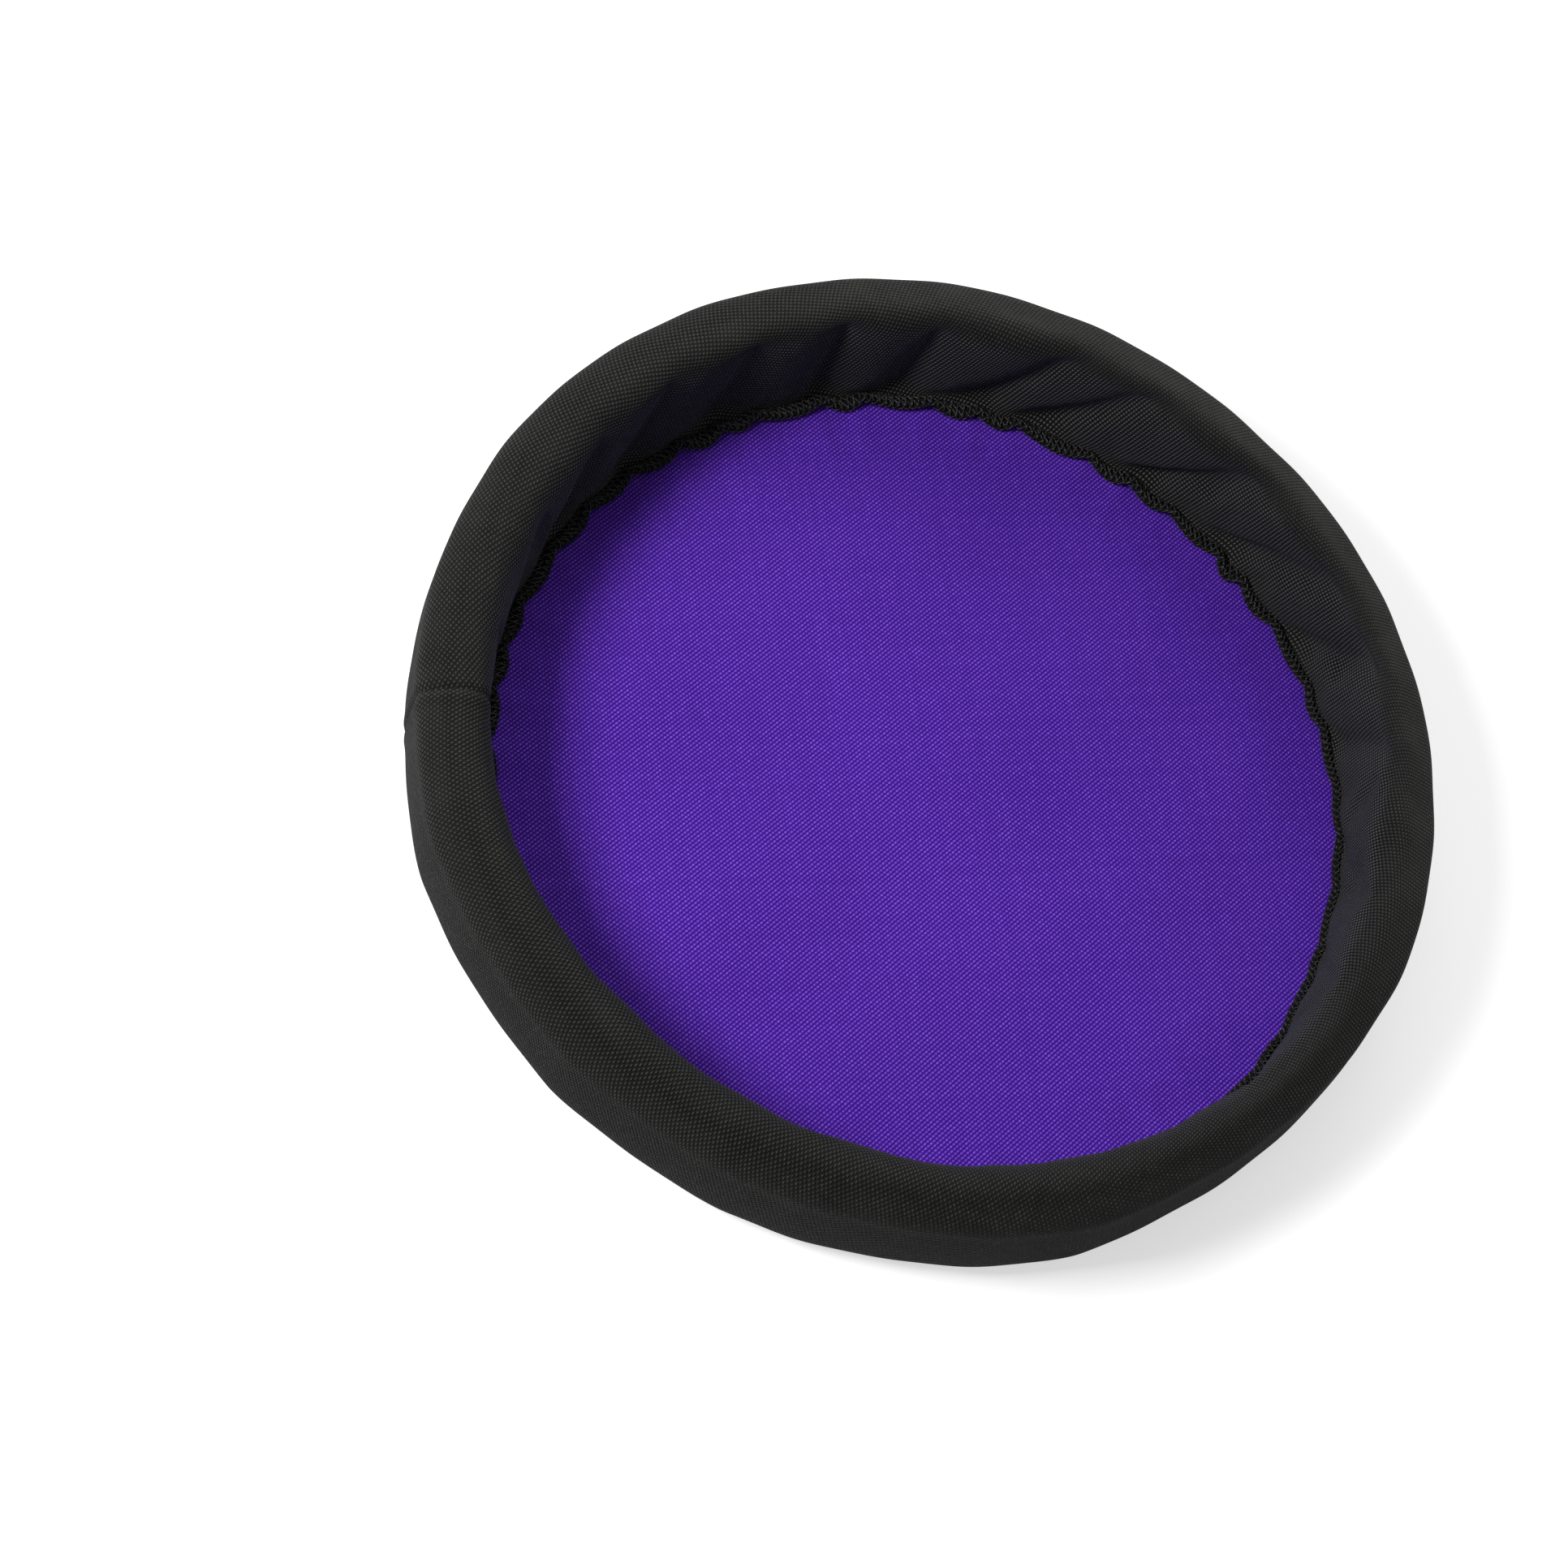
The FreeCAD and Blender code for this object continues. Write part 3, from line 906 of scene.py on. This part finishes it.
# the spun thread's pale flecks are a painted highlight on its strands
spunThread = {
    "texture": "ShaderNodeTexNoise", "output": "Fac", "grain": {"Scale": 2600.0, "Detail": 3.0},
    "tones": [(0.42, (0.002, 0.002, 0.0022)), (0.66, (0.11, 0.11, 0.11))],
    "bump": 0.5, "relief": 0.1,
    "surface": {"Roughness": 0.75, "Specular IOR Level": 0.06,
                "Sheen Weight": 0.03, "Sheen Roughness": 0.4},
}

# under the stitches, where little light gets in
shadedThread = {
    **spunThread,
    "tones": [(0.42, (0.002, 0.002, 0.0022)), (0.66, (0.0132, 0.0132, 0.0132))],
}

closedCells = {
    "texture": "ShaderNodeTexVoronoi", "output": "Distance", "grain": {"Scale": 1400.0},
    "tones": [(0.0, (0.62, 0.62, 0.61)), (1.0, (0.44, 0.44, 0.43))],
    "bump": 0.4, "relief": 0.3,
    "surface": {"Roughness": 0.85},
}


def grainMaterial(name, look):
    # a fine grain between two tones, with its relief
    material, tree = newMaterial(name)
    spot = addNode(tree, "ShaderNodeTexCoord").outputs["Object"]
    grain = addNode(tree, look["texture"], {"Vector": spot, **look["grain"]}).outputs[look["output"]]
    shade = addNode(tree, "ShaderNodeValToRGB", {"Fac": grain})
    for stop, (place, tone) in zip(shade.color_ramp.elements, look["tones"]):
        stop.position, stop.color = place, (*tone, 1)
    bump = addNode(tree, "ShaderNodeBump",
                   {"Height": grain, "Strength": look["bump"], "Distance": look["relief"] * mm})
    shader = addNode(tree, "ShaderNodeBsdfPrincipled",
                     {"Base Color": shade.outputs[0], "Normal": bump.outputs[0], **look["surface"]})
    addNode(tree, "ShaderNodeOutputMaterial", {"Surface": shader.outputs[0]})
    return material


# Wear of the cover with painted sheen and painted shade on it, and where it hangs loose
wearAndPaintedLight = {
    # spots of the section that rub: radius, height, reach and how much
    "spots": [(137.5, 42.8, 5.0, 0.35), (148.2, 37.6, 5.0, 0.4), (147.5, 3.2, 5.5, 0.8)],
    "lip": (143.5, 40.5, 9.0),  # one more, a painted sheen over the whole lip on one side of the disc
    "fall": 1.5,
    # sides of the disc: direction, and cosines of the angle from there where it comes in; the first is the
    # side of the painted sheen on the lip
    "paintedSheenSide": (62.0, 0.05, 0.8),
    "paintedShadeSide": (208.0, 0.2, 0.95),  # where the outer wall is painted darker, a painted shade
    "drawnSide": (300.0, 0.82, 0.97),  # where the lip is drawn flatter
    # how much the painted shade darkens that side of the outer wall
    "paintedShade": 0.35,
    "drawn": 0.35,
    "flat": 0.62,  # how flat the outer wall is drawn
    # how much paler the loose inner wall is made
    "looseWallPaler": 0.3,
    # radii and heights between which each part comes in or goes out
    "looseRadii": (137.0, 141.0), "looseFoot": (1.0, 4.0), "looseTop": (36.0, 40.0),
    "paintedShadeRadii": (144.0, 150.0), "paintedShadeTop": (33.0, 39.0),
    "flatRadii": (145.0, 149.0), "flatTop": (33.0, 38.0),
    "drawnRadii": (138.0, 142.0),
}


def markCover(piece):
    # stores how much each point is paled: by wear where it is rubbed, on the loose inner wall, by a painted
    # sheen on one side of the lip, and below zero by a painted shade on one side of the outer wall; and how
    # loose it hangs, below zero where it is drawn flat
    places = np.empty(len(piece.data.vertices) * 3)
    piece.data.vertices.foreach_get("co", places)
    places = places.reshape(-1, 3) / mm
    radii, heights = np.hypot(places[:, 0], places[:, 1]), places[:, 2]
    angles = np.degrees(np.arctan2(places[:, 1], places[:, 0]))

    def side(name):
        direction, low, high = wearAndPaintedLight[name]
        return ease(np.cos(np.radians(angles - direction)), low, high)

    wearAndLightMark = np.zeros(len(radii))
    # the listed spots are wear; the lip's spot is a painted sheen, strongest on one side
    for radius, height, reach, most in wearAndPaintedLight["spots"] + [(*wearAndPaintedLight["lip"], side("paintedSheenSide"))]:
        away = ((radii - radius) ** 2 + (heights - height) ** 2) / reach ** 2
        wearAndLightMark = np.maximum(wearAndLightMark, most * np.exp(-away ** wearAndPaintedLight["fall"]))
    # painted shade on one side of the outer wall
    paintedShade = side("paintedShadeSide") * ease(radii, *wearAndPaintedLight["paintedShadeRadii"])
    paintedShade = paintedShade * (1.0 - ease(heights, *wearAndPaintedLight["paintedShadeTop"]))
    onWall = ease(heights, *wearAndPaintedLight["looseFoot"]) * (1.0 - ease(heights, *wearAndPaintedLight["looseTop"]))
    loose = (1.0 - ease(radii, *wearAndPaintedLight["looseRadii"])) * onWall
    wearAndLightMark = wearAndLightMark - wearAndPaintedLight["paintedShade"] * paintedShade + wearAndPaintedLight["looseWallPaler"] * loose
    flat = ease(radii, *wearAndPaintedLight["flatRadii"]) * (1.0 - ease(heights, *wearAndPaintedLight["flatTop"]))
    drawn = side("drawnSide") * ease(radii, *wearAndPaintedLight["drawnRadii"])
    loose = np.maximum(loose - wearAndPaintedLight["flat"] * flat - wearAndPaintedLight["drawn"] * drawn, -wearAndPaintedLight["flat"])
    for name, share in (("wearAndLightMark", wearAndLightMark), ("loose", loose)):
        layer = piece.data.attributes.new(name, "FLOAT", "POINT")
        layer.data.foreach_set("value", share.astype(np.float32))


def dress(piece, material, slot, *nodes):
    piece.data.materials.clear()
    piece.data.materials.append(material)
    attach(piece, "root")
    if nodes:
        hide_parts(*nodes)


grain = math.radians(weave["panelGrain"])
panelCloth = clothMaterial("purpleCloth", False, (math.cos(grain), math.sin(grain), 0),
                           (-math.sin(grain), math.cos(grain), 0), purpleCloth)
bandCloth = clothMaterial("blackCloth", True, (1, 0, 0), (0, 1, 0), blackCloth)
blackThread = grainMaterial("blackThread", spunThread)

crownPanel = makeCrownPanel()
dress(crownPanel, panelCloth, "panel_cloth", "crown_panel")
print("crown panel sewn in:", len(crownPanel.data.polygons), "faces")

rimCover = makeRimCover()
capEnds(rimCover)
markCover(rimCover)
dress(rimCover, bandCloth, "rim_cloth", "rim_cover")
print("rim cover closed:", len(rimCover.data.polygons), "faces")

boundEdge = makeBoundEdge()
dress(boundEdge, grainMaterial("darkCore", shadedThread), "thread", "edge_overlock")
edgeStitches = makeStitches(blackThread)
dress(edgeStitches, blackThread, "thread")
print("edge bound:", len(boundEdge.data.polygons), "and", len(edgeStitches.data.polygons), "faces")

greyFoam = grainMaterial("greyFoam", closedCells)
foamCore = makeFoamCore(greyFoam)
dress(foamCore, greyFoam, "foam", "rim_core")
print("foam strip bent:", len(foamCore.data.polygons), "faces")


# Floor, lamps and surroundings
studio = {
    "floorSize": 6.0,  # metres
    "floorColour": (0.76, 0.76, 0.76),
    "floorLift": 0.58,  # added where the camera sees the floor, so that it reads white
    "floorFade": (0.25, 0.70),  # metres from the disc between which that rises to 1
    "mirrorLift": 0.12,  # and where a glossy surface shows it
    "mirrorShare": 1.0,  # of the white surroundings, where a glossy surface shows them
    "ambient": 0.21,
}

lamps = [
    # name, watts, size in metres, direction in degrees round and up, distance in metres
    ("keyLamp", 10.7, 0.34, 212.0, 46.0, 1.20),
    ("farLamp", 7.0, 1.2, 80.0, 20.0, 1.5),
    ("topLamp", 4.5, 1.0, 110.0, 40.0, 1.5),
]


def lightPath(tree, calc):
    # what the camera sees, and what a shiny or clear surface shows
    ray = addNode(tree, "ShaderNodeLightPath").outputs
    mirrored = calc("MAXIMUM", ray["Is Glossy Ray"], ray["Is Transmission Ray"])
    return ray["Is Camera Ray"], mirrored


def makeFloor():
    half = studio["floorSize"] / 2
    mesh = bpy.data.meshes.new("floor")
    corners = [(-half, -half, 0), (half, -half, 0), (half, half, 0), (-half, half, 0)]
    mesh.from_pydata(corners, [], [(0, 1, 2, 3)])
    floor = addObject("floor", mesh)
    material, tree = newMaterial("paleFloor")
    calc = calculator(tree)
    seen, mirrored = lightPath(tree, calc)
    spot = addNode(tree, "ShaderNodeTexCoord").outputs["Object"]
    away = addNode(tree, "ShaderNodeVectorMath", {0: spot}, operation="LENGTH").outputs["Value"]
    near, far = studio["floorFade"]
    level = addNode(tree, "ShaderNodeMapRange", {"Value": away, "From Min": near, "From Max": far,
                                                 "To Min": studio["floorLift"], "To Max": 1.0})
    faint = calc("MULTIPLY", mirrored, studio["mirrorLift"])
    lift = calc("MULTIPLY_ADD", seen, level.outputs["Result"], faint)
    matte = addNode(tree, "ShaderNodeBsdfDiffuse", {"Color": (*studio["floorColour"], 1)})
    glow = addNode(tree, "ShaderNodeEmission", {"Color": (1, 1, 1, 1), "Strength": lift})
    both = addNode(tree, "ShaderNodeAddShader", {0: matte.outputs[0], 1: glow.outputs[0]})
    addNode(tree, "ShaderNodeOutputMaterial", {"Surface": both.outputs[0]})
    mesh.materials.append(material)


def makeSurroundings():
    world = bpy.data.worlds.new("studio")
    scene.world = world
    world.use_nodes = True
    tree = world.node_tree
    tree.nodes.clear()
    calc = calculator(tree)
    seen, mirrored = lightPath(tree, calc)
    share = calc("MULTIPLY_ADD", mirrored, studio["mirrorShare"], seen)
    dim = addNode(tree, "ShaderNodeBackground", {"Color": (1, 1, 1, 1), "Strength": studio["ambient"]})
    white = addNode(tree, "ShaderNodeBackground", {"Color": (1, 1, 1, 1), "Strength": 1.0})
    both = addNode(tree, "ShaderNodeMixShader", {0: share, 1: dim.outputs[0], 2: white.outputs[0]})
    addNode(tree, "ShaderNodeOutputWorld", {"Surface": both.outputs[0]})


def makeLamps():
    for name, watts, size, angle, rise, distance in lamps:
        lamp = bpy.data.lights.new(name, "AREA")
        lamp.energy, lamp.size = watts, size
        place = addObject(name, lamp)
        turn, tilt = math.radians(angle), math.radians(rise)
        way = Vector((math.cos(turn) * math.cos(tilt), math.sin(turn) * math.cos(tilt), math.sin(tilt)))
        place.location = way * distance
        place.rotation_euler = way.to_track_quat("Z", "Y").to_euler()


# Camera, where the photograph's was against the disc
view = {
    "tilt": 27.1,  # of the disc's axis from the line of sight
    "turn": 64.6,  # of that tilt round the picture
    "offset": (38.7, 0.6),  # of the disc's middle from the middle of the picture
    "distance": 1090.0,
    "lens": 84.67,
    "sensor": 36.0,
    "clip": (0.05, 20.0),  # metres
}


def makeCamera():
    tilt, turn = math.radians(view["tilt"]), math.radians(view["turn"])
    turned = Matrix(((math.sin(turn), -math.cos(turn), 0.0),
                     (math.cos(turn) * math.cos(tilt), math.sin(turn) * math.cos(tilt), -math.sin(tilt)),
                     (math.sin(tilt) * math.cos(turn), math.sin(tilt) * math.sin(turn), math.cos(tilt))))
    lens = bpy.data.cameras.new("camera")
    lens.lens, lens.sensor_width = view["lens"], view["sensor"]
    lens.clip_start, lens.clip_end = view["clip"]
    camera = addObject("camera", lens)
    place = turned @ Vector((-view["offset"][0], -view["offset"][1], view["distance"])) * mm
    camera.matrix_world = Matrix.Translation(place) @ turned.to_4x4()
    scene.camera = camera


makeFloor()
makeSurroundings()
makeLamps()
makeCamera()
print("studio set")
